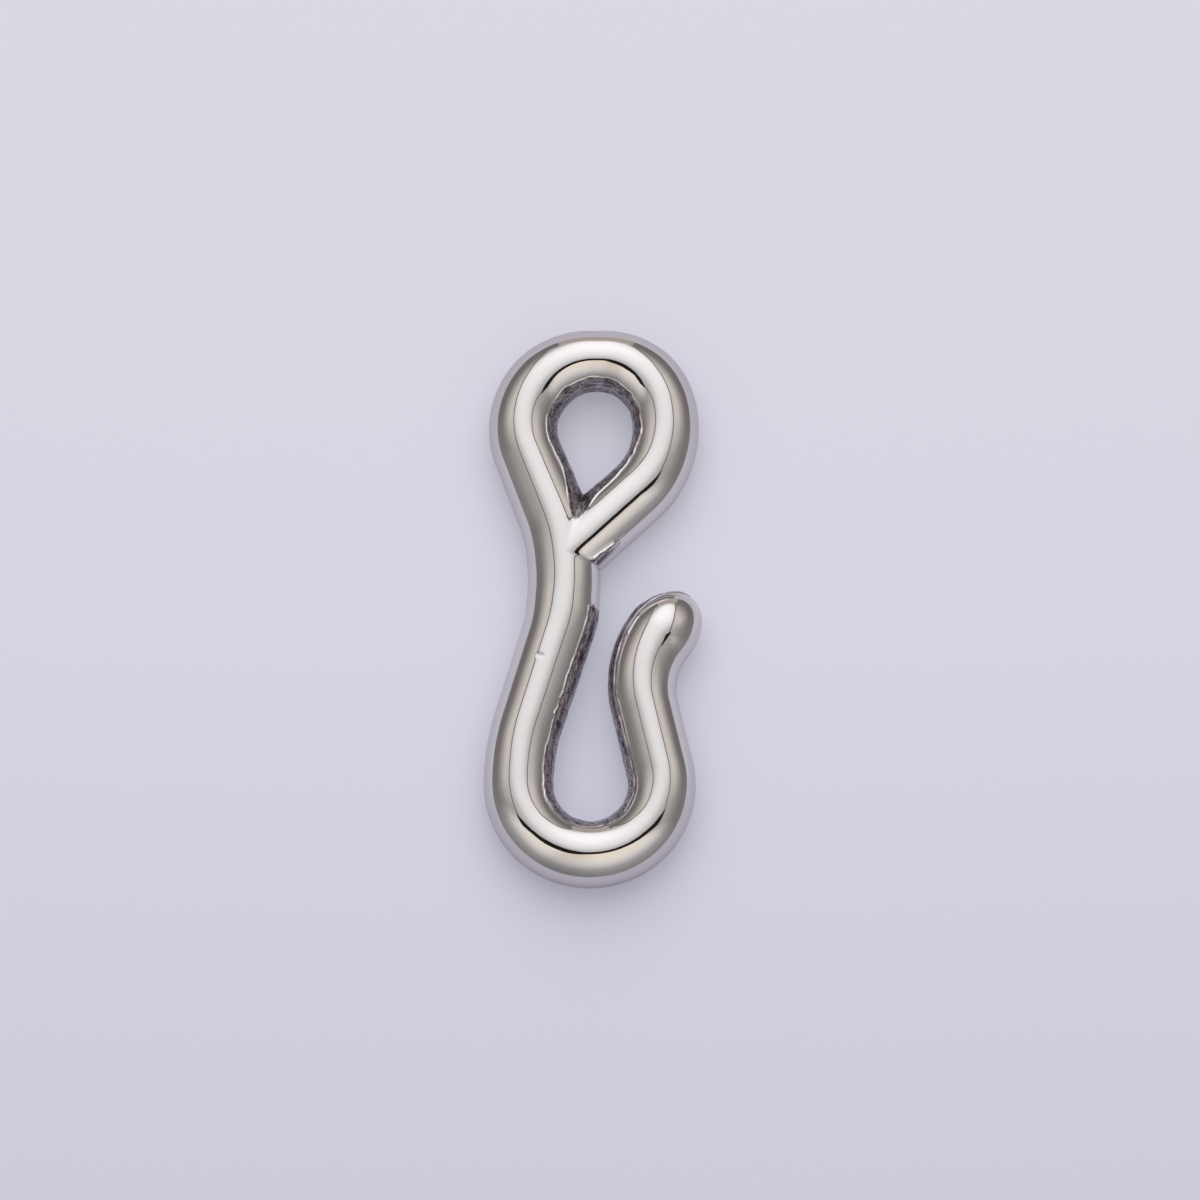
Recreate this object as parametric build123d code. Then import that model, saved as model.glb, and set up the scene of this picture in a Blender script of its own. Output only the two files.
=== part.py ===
from build123d import *
import math
import os

# Hook clasp: a polished cast rod bent in one plane, with a closed teardrop eye at
# one end and an open hook at the other.  It lies flat on Z = 0, its eye towards +Y.
# All lengths are millimetres, all turns are degrees.

# ---- rod: its height, and its width in the plane of the clasp from place to place ----
ROD_HEIGHT = 2.45
CROWN_WIDTH = 2.38
EYE_WIDTH = 2.62
NECK_WIDTH = 2.86
SHANK_WIDTH = 2.72
HEEL_WIDTH = 2.65
BOWL_WIDTH = 2.53
ARM_WIDTH = 2.57
NOSE_WIDTH = 2.74

# ---- eye: both sides start at the crown, and the left one runs down into the shank ----
CROWN_RUN = 0.32
CROWN_TURN = 45
CHEEK_RADIUS = 2.82
CHEEK_TURN = 111.9
NECK_RUN = 2.53

# ---- eye: the right side comes round from the crown and closes on the shank ----
SHOULDER_RADIUS = 2.53
SHOULDER_TURN = 78.3
FLANK_RADIUS = 3.73
FLANK_TURN = 58.8
LEG_SINK = 0.03

# ---- shank: one long bend past the junction, then a straight run ----
SHANK_BEND_RADIUS = 7.41
JUNCTION_TURN = 16.0
BARE_TURN = 12.5
SHANK_TURN = 11.0
SHANK_RUN = 3.60

# ---- hook: heel, bowl and arm, a reversed bend at the waist, and the blunt nose ----
HEEL_RADIUS = 8.60
HEEL_TURN = 17.7
BOWL_RADIUS = 2.86
BOWL_TURN = 193.4
ARM_RUN = 2.54
WAIST_RADIUS = 3.50
WAIST_TURN = 49.4
NOSE_LENGTH = 1.98
NOSE_OFFSET = 0.07
NOSE_STEPS = (18, 36, 54, 70, 82)

# ---- land: the unpolished cast wall on the inside of the eye and of the hook ----
LAND_SPREAD = 44
LAND_FACE = 0.90
LAND_PROUD = 0.08

LEFT = 1
RIGHT = -1


def direction(heading):
    """The unit vector along a heading, counted anticlockwise from +X."""
    return Vector(math.cos(math.radians(heading)), math.sin(math.radians(heading)))


def oval(width, scale=1.0):
    """The polished rod's section."""
    return Ellipse(width / 2 * scale, ROD_HEIGHT / 2 * scale).face()


def oval_with_land(width, scale=1.0):
    """The section where the inner side is left as cast: an oval with a low upright wall."""
    rod = EllipticalCenterArc(
        (0, 0),
        width / 2 * scale,
        ROD_HEIGHT / 2 * scale,
        LAND_SPREAD,
        arc_size=360 - 2 * LAND_SPREAD,
    )
    reach = (width / 2 + LAND_PROUD) * scale
    half_face = LAND_FACE / 2 * scale
    wall = Polyline(rod @ 1, (reach, -half_face), (reach, half_face), rod @ 0)
    return make_face([rod, wall])


def square_to(point, along, inside):
    """The plane square to a direction of travel, its x axis towards the inside."""
    return Plane(point, x_dir=Vector(-along.Y, along.X) * inside, z_dir=along)


def length_of_rod(edge, inside, outline, start_width, end_width, end_scale=1.0):
    """One length of the rod, its section changing evenly along an edge."""
    start = square_to(edge @ 0, edge % 0, inside) * outline(start_width)
    end = square_to(edge @ 1, edge % 1, inside) * outline(end_width, end_scale)
    return sweep([start, end], path=edge, multisection=True)


def follow(start, heading, inside, start_width, moves):
    """Chain tangent lengths of rod; returns them with their centreline's edges."""
    lengths = []
    edges = []
    width = start_width
    for outline, end_width, *move in moves:
        if len(move) == 1:
            edge = Line(start, start + direction(heading) * move[0])
        else:
            edge = JernArc(start, direction(heading), *move)
            heading += move[1]
        lengths.append(length_of_rod(edge, inside, outline, width, end_width))
        edges.append(edge)
        start = edge @ 1
        width = end_width
    return lengths, edges


def blunt_nose(edge, inside):
    """The rounded end past an edge: sections that shrink as a quarter ellipse does.

    Their centres lean a little away from the land, which leaves its corner rounder.
    """
    base = square_to(edge @ 1, edge % 1, inside)
    axis = (edge % 1) * NOSE_LENGTH - base.x_dir * NOSE_OFFSET
    sections = [base * oval_with_land(NOSE_WIDTH)]
    for step in NOSE_STEPS:
        outline = oval_with_land(NOSE_WIDTH, math.cos(math.radians(step)))
        place = edge @ 1 + axis * math.sin(math.radians(step))
        sections.append(square_to(place, edge % 1, inside) * outline)
    sections.append(Vertex(*(edge @ 1 + axis)))
    return loft(sections)


def closing_leg(edge, shank_edges, inside):
    """The eye's last straight length, from an edge to the shank's centreline."""
    eye_length = (edge @ 1 - crown).length
    reach = Line(edge @ 1, edge @ 1 + (edge % 1) * eye_length)
    shank = Wire(shank_edges)
    meeting = reach.distance_to_with_closest_points(shank)[1]
    leg = Line(edge @ 1, meeting)
    sunk = 1 - 2 * LEG_SINK / ROD_HEIGHT
    return length_of_rod(leg, inside, oval_with_land, EYE_WIDTH, EYE_WIDTH, sunk)


crown = Vector(0, 0)

body, shank_edges = follow(crown, 180, LEFT, CROWN_WIDTH, [
    (oval_with_land, CROWN_WIDTH, CROWN_RUN),
    (oval_with_land, EYE_WIDTH, CHEEK_RADIUS, CROWN_TURN),
    (oval_with_land, EYE_WIDTH, CHEEK_RADIUS, CHEEK_TURN - CROWN_TURN),
    (oval_with_land, SHANK_WIDTH, NECK_RUN),
    (oval_with_land, NECK_WIDTH, SHANK_BEND_RADIUS, -JUNCTION_TURN),
    (oval, NECK_WIDTH, SHANK_BEND_RADIUS, -BARE_TURN),
    (oval_with_land, SHANK_WIDTH, SHANK_BEND_RADIUS, -SHANK_TURN),
    (oval_with_land, HEEL_WIDTH, SHANK_RUN),
    (oval_with_land, HEEL_WIDTH, HEEL_RADIUS, HEEL_TURN),
    (oval_with_land, BOWL_WIDTH, BOWL_RADIUS, BOWL_TURN / 2),
    (oval_with_land, ARM_WIDTH, BOWL_RADIUS, BOWL_TURN / 2),
    (oval_with_land, ARM_WIDTH, ARM_RUN),
    (oval_with_land, NOSE_WIDTH, WAIST_RADIUS, -WAIST_TURN),
])
body.append(blunt_nose(shank_edges[-1], LEFT))

right_side, flank_edges = follow(crown, 0, RIGHT, CROWN_WIDTH, [
    (oval_with_land, EYE_WIDTH, SHOULDER_RADIUS, -CROWN_TURN),
    (oval_with_land, EYE_WIDTH, SHOULDER_RADIUS, CROWN_TURN - SHOULDER_TURN),
    (oval_with_land, EYE_WIDTH, FLANK_RADIUS, -FLANK_TURN),
])
right_side.append(closing_leg(flank_edges[-1], shank_edges, RIGHT))

clasp = body[0].fuse(*body[1:], *right_side)
box = clasp.bounding_box()
clasp = Pos(-box.center().X, -box.center().Y, -box.min.Z) * clasp

print("solids", len(clasp.solids()), "faces", len(clasp.faces()), "valid", clasp.is_valid)
print("size", clasp.bounding_box().size)

os.makedirs("parts", exist_ok=True)
export_step(clasp, "parts/hook_clasp.step")
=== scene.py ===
# %% [markdown]
# # A polished hook clasp
#
# This lesson builds the fine surface and the finish of one small cast fastener: a hook
# clasp with a closed teardrop eye at one end and an open hook at the other. A foundry
# would cast it in a two-part mould, tumble it, and polish what a wheel can reach.
# The wheel can't get inside the eye or the hook, so a narrow wall there stays as cast.
#
# Modifiers could round the CAD model's mesh, but its flat facets would show in the
# polish. So the surface is worked out as arrays of points, which give an even mirror.

# %% Load the frame
import math

import bpy
import numpy as np
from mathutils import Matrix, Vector


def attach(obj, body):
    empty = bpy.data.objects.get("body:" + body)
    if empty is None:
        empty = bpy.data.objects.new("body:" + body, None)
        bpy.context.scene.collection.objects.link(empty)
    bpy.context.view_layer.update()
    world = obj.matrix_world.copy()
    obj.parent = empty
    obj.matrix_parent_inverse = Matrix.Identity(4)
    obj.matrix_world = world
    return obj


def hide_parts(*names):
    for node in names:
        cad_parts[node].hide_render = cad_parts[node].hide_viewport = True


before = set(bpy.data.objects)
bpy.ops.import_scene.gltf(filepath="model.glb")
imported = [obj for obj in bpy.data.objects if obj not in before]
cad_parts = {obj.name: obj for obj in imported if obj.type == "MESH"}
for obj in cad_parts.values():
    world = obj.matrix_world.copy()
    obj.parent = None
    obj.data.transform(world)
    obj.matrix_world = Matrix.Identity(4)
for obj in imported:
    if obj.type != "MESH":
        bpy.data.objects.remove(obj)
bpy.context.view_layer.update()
MM = 0.001

# %% [markdown]
# ## The bent rod
#
# The clasp is one rod bent in a plane. Its line is a chain of tangent lines and arcs,
# the same chain as in the part's source. Each row below is one length of it:
# the rod's width where the length ends, then a straight run, or a radius and a turn.
# Lengths are millimetres, turns are degrees and a left turn is positive. The rod starts
# at the crown of the eye, and goes both ways from there.
#
# A curve with a bevel could carry a plain rod. This one has a rough wall on one side,
# so it needs its line as numbers, with a direction and a width at every place.

# %% The chain of lines and arcs
CROWN_WIDTH = 2.38
ROD_HALF_HEIGHT = 1.225
BODY_MOVES = [
    (2.38, 0.32),
    (2.62, 2.82, 45.0),
    (2.62, 2.82, 66.9),
    (2.72, 2.53),
    (2.86, 7.41, -16.0),
    (2.86, 7.41, -12.5),
    (2.72, 7.41, -11.0),
    (2.65, 3.60),
    (2.65, 8.60, 17.7),
    (2.53, 2.86, 96.7),
    (2.57, 2.86, 96.7),
    (2.57, 2.54),
    (2.74, 3.50, -49.4),
]
LEG_MOVES = [
    (2.62, 2.53, -45.0),
    (2.62, 2.53, -33.3),
    (2.62, 3.73, -58.8),
    (2.62, 5.60),
]
print("moves:", len(BODY_MOVES), "and", len(LEG_MOVES))

# %% Points along the chain
STEP = 0.01
FEWEST = 3


def one_length(start, heading, move):
    """Points of one length of the rod: distance, x, y and heading at each."""
    if len(move) == 1:
        length = move[0]
        along = np.linspace(0.0, length, max(FEWEST, int(length / STEP)))
        turned = np.full_like(along, heading)
        x = start[0] + along * math.cos(heading)
        y = start[1] + along * math.sin(heading)
    else:
        radius, turn = move[0], math.radians(move[1])
        length = radius * abs(turn)
        side = math.copysign(radius, turn)
        along = np.linspace(0.0, length, max(FEWEST, int(length / STEP)))
        turned = heading + along / side
        x = start[0] + side * (np.sin(turned) - math.sin(heading))
        y = start[1] - side * (np.cos(turned) - math.cos(heading))
    return along, x, y, turned


def bent_rod(start, heading, width, moves):
    """The whole chain as columns: distance s, position xy, heading and width."""
    columns = []
    gone = 0.0
    for end_width, *move in moves:
        along, x, y, turned = one_length(start, heading, move)
        widths = np.linspace(width, end_width, len(along))
        columns.append(np.stack([gone + along, x, y, turned, widths], axis=1)[:-1])
        gone += along[-1]
        start, heading, width = (x[-1], y[-1]), turned[-1], end_width
    columns.append(np.array([[gone, start[0], start[1], heading, width]]))
    return np.concatenate(columns)


crown_to_nose = bent_rod((0.0, 0.0), math.pi, CROWN_WIDTH, BODY_MOVES)
crown_to_neck = bent_rod((0.0, 0.0), 0.0, CROWN_WIDTH, LEG_MOVES)
print("rod from the crown round to the nose:", round(crown_to_nose[-1, 0], 2), "mm")

# %% [markdown]
# ## The ridge
#
# Polishing takes more off the outer side of the rod than off the inner side, which the
# wheel can't reach. So the rod's highest line lies a little nearer to the inside than
# the middle of the rod. It could be searched for in each cross-section, but it is
# simpler to move the chain inwards by a constant.

# %% Move the line to the ridge
RIDGE_SHIFT = 0.04
LEFT, RIGHT = 1.0, -1.0


class Ridge:
    """A line of highest points, with the inward direction and widths along it."""

    def __init__(self, rod, inside):
        self.s, self.heading, self.width = rod[:, 0], rod[:, 3], rod[:, 4]
        self.inside = inside
        self.xy = rod[:, 1:3] + RIDGE_SHIFT * self.inward(self.s)

    def inward(self, s):
        """Unit vectors in the plane, square to the rod and towards its inner side."""
        turned = np.interp(s, self.s, self.heading)
        return self.inside * np.stack([-np.sin(turned), np.cos(turned)], axis=1)

    def point(self, s):
        """Where the ridge is at distance s."""
        return np.stack([np.interp(s, self.s, self.xy[:, k]) for k in (0, 1)], axis=1)

    def half_width(self, s):
        """From the middle of the rod to its side."""
        return 0.5 * np.interp(s, self.s, self.width)

    def nearest(self, points):
        """Distance of each point from the ridge, and s of the nearest place on it."""
        gap = points[:, None, :] - self.xy[None, :, :]
        index = (gap ** 2).sum(axis=2).argmin(axis=1)
        gap = gap[np.arange(len(points)), index]
        turned = self.heading[index]
        ahead = gap[:, 0] * np.cos(turned) + gap[:, 1] * np.sin(turned)
        ahead = np.clip(ahead, -STEP, STEP)
        away = np.sqrt(np.maximum((gap ** 2).sum(axis=1) - ahead ** 2, 0.0))
        return away, self.s[index] + ahead

    def part(self, low, high):
        """The same ridge between two distances."""
        cut = object.__new__(Ridge)
        keep = (self.s >= low) & (self.s <= high)
        cut.s, cut.heading, cut.width = self.s[keep], self.heading[keep], self.width[keep]
        cut.inside, cut.xy = self.inside, self.xy[keep]
        return cut


body = Ridge(crown_to_nose, LEFT)
leg = Ridge(crown_to_neck, RIGHT)
print("points on the ridges:", len(body.s), "and", len(leg.s))

# %% Where the leg meets the shank
straight = leg.s > leg.s[-1] - LEG_MOVES[-1][1]
from_body, s_on_body = body.nearest(leg.xy[straight])
touch = from_body.argmin()
LEG_END, JOIN = leg.s[straight][touch], s_on_body[touch]
leg = leg.part(0.0, LEG_END)
print("the leg meets the shank", round(float(JOIN), 2), "mm from the crown")

# %% [markdown]
# ## The cross-section
#
# Seen along the rod, the polished part is an oval. A point at angle a from the ridge
# lies at height c cos(a) and at sin(a) of the half-width from the ridge. On the inner
# side the oval ends at about 46 degrees, sooner on the leg and later on the arm, and
# the cast wall takes over. It starts with nearly the oval's own slope, and bends down
# until it is upright at mid-height.
#
# A boolean cut could take the wall out of the rod, but would leave a hard, even edge.
# One formula for both lets the edge wander. On the right of the neck there is no wall,
# and the oval runs all the way down.

# %% Smooth steps and a slow wander
WANDER_VALUES = 4096


def smooth(t):
    """Rises from 0 to 1 as t does, with level ends: 3t^2 - 2t^3."""
    t = np.clip(t, 0.0, 1.0)
    return t * t * (3.0 - 2.0 * t)


def wander(x, spacing, seed):
    """Smooth random values between -1 and 1, a new one every spacing."""
    values = np.random.RandomState(seed).uniform(-1.0, 1.0, WANDER_VALUES)
    cell = np.floor(x / spacing).astype(int)
    t = smooth(x / spacing - cell)
    before, after = values[cell % WANDER_VALUES], values[(cell + 1) % WANDER_VALUES]
    return before * (1.0 - t) + after * t


# %% Where the cast wall starts
LAND_ANGLE, LEG_ANGLE = 46.0, 37.5
ARM_ANGLE, ARM_FROM, ARM_RAMP = 57.0, 25.5, 3.0
CROTCH_ANGLE, CROTCH_RUN_BODY, CROTCH_RUN_LEG = 24.0, 2.3, 1.5
LAND_START, LAND_RAMP = 11.85, 0.75
LAND_WANDER, WANDER_FROM = 3.0, 50.0
COARSE, FINE, FINE_SHARE = 1.3, 0.31, 0.6
CALM_SHARE, CALM_FROM, CALM_RUN = 0.7, 3.0, 1.5


def land_share(s):
    """How far the cast wall is present on the inner side of the body: 0 to 1."""
    back = smooth((s - LAND_START) / LAND_RAMP)
    return np.where(s < JOIN, 1.0, back)


def calm(away):
    """1 near the junction, where the edge wanders less, and 0 far from it."""
    return smooth(1.0 - (away - CALM_FROM) / CALM_RUN)


def land_angle(s, near_join, crotch_s, run, middle):
    """The angle from the ridge at which the cast wall takes over, in degrees."""
    place = s + WANDER_FROM
    drift = wander(place, COARSE, 3) + FINE_SHARE * wander(place, FINE, 4)
    lower = smooth(1.0 - np.abs(s - crotch_s) / run)
    angle = middle + LAND_WANDER * drift * (1.0 - CALM_SHARE * near_join)
    return angle + (CROTCH_ANGLE - angle) * lower


# %% The profile of the inner side
FACE_LEFT, FACE_CROWN, FACE_RIGHT, FACE_CROTCH = 1.0, 0.95, 0.93, 0.97
FACE_RUN = 4.0
LAND_FLARE = 2.6
FACE_LEAN = 0.006


def face_at(s, side_face):
    """Where the wall's face stands, as a share of the half-width, s from the crown."""
    return FACE_CROWN + (side_face - FACE_CROWN) * smooth(s / FACE_RUN)


def wall_profile(angle, start, presence=1.0, face=1.0):
    """Share of the half-width at an angle, with the wall from the start angle on.

    The wall goes from the oval to the face as 1 - (1 - d)^flare, d being how far down.
    """
    oval = np.sin(np.radians(angle))
    height = np.cos(np.radians(angle))
    top = np.cos(np.radians(start))
    down = np.clip((top - height) / top, 0.0, 1.0)
    root = np.sin(np.radians(start))
    wall = root + (face - root) * (1.0 - (1.0 - down) ** LAND_FLARE)
    wall = wall + FACE_LEAN * down ** 2
    return np.where(angle <= start, oval, oval + presence * (wall - oval))


# %% [markdown]
# ## Where the eye closes
#
# The eye's right side runs down into the shank. In casting such a junction is rounded,
# because molten metal doesn't fill a sharp crease. Let r be a point's distance from a
# ridge, as a share of the half-width. For two rods the shares r1 and r2 are blended as
# (r1^-p + r2^-p)^(-1/p). That is close to the smaller one, apart from near the line
# where both are equal, and both tops stay at full height and run into each other. The
# power p is low inside the eye, where the crease is soft, and high below the leg.
#
# A boolean union with a bevel could do this too, but its uneven triangles would show in
# the mirror. The line of equal shares is the valley between the rods. Surface lines
# from either side end on it at the same points, so the mesh closes with no overlap.

# %% The blended distance
BLEND_POWER_EYE, BLEND_POWER_LOW = 4.0, 9.0
REACH_EYE, REACH_LOW = 4.2, 1.5
FADE_EYE, FADE_LOW = 1.8, 0.5
LOSS, LOSS_FROM, LOSS_RUN = 0.85, 0.45, 0.5
NEAR_ABOVE, NEAR_BELOW = 7.0, 3.0
LEAST_SHARE = 1e-5

near_body = body.part(JOIN - NEAR_ABOVE, JOIN + NEAR_BELOW)
near_leg = leg.part(LEG_END - NEAR_ABOVE, LEG_END)
meeting_point = body.point(np.array([JOIN]))[0]


def shares(points, in_eye):
    """Shares r1 of the body and r2 of the leg, inside the eye or below the leg."""
    from_body, s_body = near_body.nearest(points)
    from_leg, s_leg = near_leg.nearest(points)
    half = near_body.half_width(s_body)
    r1 = from_body / (half + (RIDGE_SHIFT if in_eye else -RIDGE_SHIFT))
    r2 = from_leg / (near_leg.half_width(s_leg) + RIDGE_SHIFT)
    return r1, r2


def blended(points, in_eye):
    """The two shares blended, never above the smaller one, and fading to it far off."""
    r1, r2 = (np.maximum(r, LEAST_SHARE) for r in shares(points, in_eye))
    away = np.linalg.norm(points - meeting_point, axis=1)
    power = BLEND_POWER_EYE if in_eye else BLEND_POWER_LOW
    reach, fade = (REACH_EYE, FADE_EYE) if in_eye else (REACH_LOW, FADE_LOW)
    small, large = np.minimum(r1, r2), np.maximum(r1, r2)
    weight = smooth((reach - away) / fade)
    weight = weight * (1.0 - LOSS * smooth((small - LOSS_FROM) / LOSS_RUN))
    total = small ** -power + weight * large ** -power
    return total ** (-1.0 / power)


print("meeting point:", meeting_point.round(3))

# %% The two valleys
HALVINGS = 40
FARTHEST = 1.9
ANGLE_STEPS, BACK_STEPS = 2001, 420
LEVEL, PAST_LEVEL = 90.0, 91.0
EYE_STATIONS, LOW_STATIONS = 34, 16


def halve(low, high, is_low):
    """Narrows low to high until both stand where the test turns false."""
    for _ in range(HALVINGS):
        middle = 0.5 * (low + high)
        below = is_low(middle)
        low = np.where(below, middle, low)
        high = np.where(below, high, middle)
    return 0.5 * (low + high)


def to_valley(start, across, in_eye, from_leg):
    """How far along each ray both shares are equal."""

    def own_is_smaller(u):
        r1, r2 = shares(start + u[:, None] * across, in_eye)
        return r2 < r1 if from_leg else r1 < r2

    zero = np.zeros(len(start))
    return halve(zero, zero + FARTHEST, own_is_smaller)


def valley_angle(share, in_eye):
    """The angle whose profile has this share: the valley's angle from the ridge."""
    angles = np.linspace(0.0, LEVEL, ANGLE_STEPS)
    profile = np.sin(np.radians(angles))
    if in_eye:
        profile = wall_profile(angles, np.full_like(angles, LAND_ANGLE), 1.0, FACE_CROTCH)
    return np.interp(share, profile, angles, right=PAST_LEVEL)


def from_the_leg(s, in_eye):
    """Starts and directions of rays from the leg, into the eye or out of it."""
    return leg.point(s), leg.inward(s) * (1.0 if in_eye else -1.0)


def valley_stations(in_eye, count):
    """Distances back from the leg's end at which the valley's angle rises evenly."""
    back = np.linspace(0.0, REACH_EYE if in_eye else REACH_LOW, BACK_STEPS)
    start, across = from_the_leg(LEG_END - back, in_eye)
    u = to_valley(start, across, in_eye, True)
    angle = valley_angle(blended(start + u[:, None] * across, in_eye), in_eye)
    angle[0] = 0.0
    tip = np.argmax(angle > LEVEL)
    angle = np.minimum(angle[: tip + 1], LEVEL)
    return np.interp(np.linspace(0.0, LEVEL, count), angle, back[: tip + 1])


eye_valley = valley_stations(True, EYE_STATIONS)
low_valley = valley_stations(False, LOW_STATIONS)
print("valley reaches back", round(eye_valley[-1], 2), "and", round(low_valley[-1], 2), "mm")

# %% [markdown]
# ## Stations and rows
#
# Cross-sections stand close together along the rod. Near the junction they stand at the
# feet of the valley's points, so that the body's surface lines and the leg's surface
# lines meet there. Rows run from the ridge down to mid-height, and are packed closer
# round the edge of the cast wall and round the burr on the leg. Even rows would be
# simpler, but would take more points for an edge as sharp.

# %% Choose the rows and the leg's stations
SPACING = 0.062
CLOSEST = 0.012


def packed_rows(first, last, counts):
    """Rows from 0 to 1 with other spacings up to first, up to last, and after it."""
    before, between, after = counts
    return np.concatenate([
        np.linspace(0.0, first, before)[:-1],
        np.linspace(first, last, between)[:-1],
        np.linspace(last, 1.0, after),
    ])


INNER_ROWS = packed_rows(0.24, 0.62, (7, 31, 13))
LEG_OUTER_ROWS = packed_rows(0.40, 0.76, (9, 27, 7))
OUTER_ROWS = np.linspace(0.0, 1.0, 25)

plain_leg = np.arange(eye_valley[-1] + SPACING, LEG_END, SPACING)
leg_back = np.concatenate([eye_valley, low_valley, plain_leg, [LEG_END]])
leg_back = np.unique(np.round(leg_back, 6))
leg_back = leg_back[np.concatenate([[True], np.diff(leg_back) > CLOSEST])]
leg_back[-1] = LEG_END
print("rows:", len(INNER_ROWS), "inside,", len(OUTER_ROWS), "and", len(LEG_OUTER_ROWS), "outside")

# %% Valley points and the body's stations
SLACK = 1e-6


def valley_points(back, in_eye):
    """Points of a valley, the body's distance s at each foot, and their reach."""
    start, across = from_the_leg(LEG_END - back, in_eye)
    u = to_valley(start, across, in_eye, True)
    points = start + u[:, None] * across
    return points, near_body.nearest(points)[1], u


eye_back = leg_back[leg_back <= eye_valley[-1] + SLACK]
low_back = leg_back[leg_back <= low_valley[-1] + SLACK]
eye_points, eye_feet, eye_reach = valley_points(eye_back, True)
low_points, low_feet, low_reach = valley_points(low_back, False)
eye_feet[0] = low_feet[0] = JOIN
eye_points[0] = low_points[0] = meeting_point

eye_valley_angle = valley_angle(blended(eye_points, True), True)
crotch_on_body = np.interp(CROTCH_ANGLE, eye_valley_angle, eye_feet)
crotch_on_leg = LEG_END - np.interp(CROTCH_ANGLE, eye_valley_angle, eye_back)
print("the cast wall starts", round(float(JOIN - crotch_on_body), 2), "mm above the junction")

above_count = int(eye_feet[-1] / SPACING)
below_count = int((body.s[-1] - low_feet[-1]) / SPACING)
body_s = np.concatenate([
    np.linspace(0.0, eye_feet[-1], above_count)[:-1],
    eye_feet[::-1],
    low_feet[1:],
    np.linspace(low_feet[-1], body.s[-1], below_count)[1:],
])
print("stations:", len(body_s), "on the body,", len(leg_back), "on the leg")

# %% [markdown]
# ## The surface lines
#
# Each surface line starts on the ridge and ends at mid-height, or in a valley. Along it,
# the row at angle a stands where the blended share equals the profile's share at a.
# It could be found row by row. Halving a range forty times finds it for all at once.

# %% Solve the surface lines
NO_WALL = -30.0
PAST_EDGE, ANGLE = 3, 4


def lines(start, across, half, end_angle, rows, wall_from, wall, face, in_eye, reach):
    """Distances from the ridge and heights, one row per station and column per row."""
    even, half_way = LEVEL * rows[None, :], 0.5 * end_angle[:, None]
    squeeze = (end_angle[:, None] - half_way) / (LEVEL - half_way)
    angle = np.where(even < half_way, even, half_way + (even - half_way) * squeeze)
    share = wall_profile(angle, wall_from[:, None], wall[:, None], face[:, None])
    u = share * half[:, None]
    mixed = np.isfinite(reach)
    if mixed.any():
        p, d, target = start[mixed], across[mixed], share[mixed]
        count, width = target.shape
        p, d = np.repeat(p, width, axis=0), np.repeat(d, width, axis=0)
        target = target.ravel()
        high = np.repeat(reach[mixed], width)

        def below(v):
            return blended(p + v[:, None] * d, in_eye) < target

        u[mixed] = halve(np.zeros_like(high), high, below).reshape(count, width)
    u[:, 0] = 0.0
    height = ROD_HALF_HEIGHT * np.cos(np.radians(angle))
    past_edge = np.where(wall[:, None] > 0.5, angle - wall_from[:, None], NO_WALL)
    return u, height, past_edge, angle


def surface(start, across, *layers):
    """Points of all the lines: x, y, then height, degrees past the wall's edge, angle."""
    flat = start[:, None, :] + layers[0][:, :, None] * across[:, None, :]
    return np.concatenate([flat, np.stack(layers[1:], axis=2)], axis=2)


# %% Where the lines end
FARTHEST_SHARE = 1.25
SAME = 1e-9


def blend_limits(s, start, across, in_eye, from_leg, feet, feet_reach, half):
    """How far each line may run: to its valley, or infinite where nothing blends."""
    limit = np.full(len(s), np.inf)
    centre = LEG_END if from_leg else JOIN
    near = np.abs(s - centre) < (REACH_EYE if in_eye else REACH_LOW)
    limit[near] = to_valley(start[near], across[near], in_eye, from_leg)
    limit[near] = np.minimum(limit[near], FARTHEST_SHARE * half[near])
    at_foot = np.abs(s[:, None] - feet[None, :]).argmin(axis=1)
    is_foot = np.abs(s - feet[at_foot]) < SAME
    limit[is_foot] = feet_reach[at_foot[is_foot]]
    return limit, is_foot, at_foot


def end_angles(is_foot, at_foot, points, in_eye):
    """90 degrees, or the valley's angle for lines that end in it."""
    angle = np.minimum(valley_angle(blended(points, in_eye), in_eye), LEVEL)
    angle[0], angle[-1] = 0.0, LEVEL
    return np.where(is_foot, angle[at_foot], LEVEL)


# %% [markdown]
# ## Five patches
#
# The upper half of the clasp is five grids of points, which share the ridge and the
# valleys. One grid for all can't follow a rod that branches.
#
# The wheel can't reach the corner under the leg either. A thin strip of cast skin is
# left there, and ends after about two millimetres.

# %% The body's patches
CROTCH_FACE_FROM, CROTCH_FACE_RUN = 2.4, 0.8


def body_inner(s, in_eye):
    """The body's inner surface, above the junction (in the eye) or below it."""
    half = body.half_width(s) + RIDGE_SHIFT * (2.0 * land_share(s) - 1.0)
    start, across, away = body.point(s), body.inward(s), np.abs(s - JOIN)
    feet, points = (eye_feet, eye_points) if in_eye else (low_feet, low_points)
    reach = np.linalg.norm(points - body.point(feet), axis=1)
    limit, is_foot, at_foot = blend_limits(s, start, across, in_eye, False, feet, reach, half)
    ends = end_angles(is_foot, at_foot, points, in_eye)
    middle = LAND_ANGLE + (ARM_ANGLE - LAND_ANGLE) * smooth((s - ARM_FROM) / ARM_RAMP)
    edge = land_angle(s, calm(away), crotch_on_body, CROTCH_RUN_BODY, middle)
    face = face_at(s, FACE_LEFT)
    to_crotch = smooth(1.0 - (away - CROTCH_FACE_FROM) / CROTCH_FACE_RUN) * (s < JOIN)
    face = face + (FACE_CROTCH - face) * to_crotch
    wall = land_share(s)
    found = lines(start, across, half, ends, INNER_ROWS, edge, wall, face, in_eye, limit)
    sheet = surface(start, across, *found)
    sheet[is_foot, -1, :2] = points[at_foot[is_foot]]
    return sheet


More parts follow.
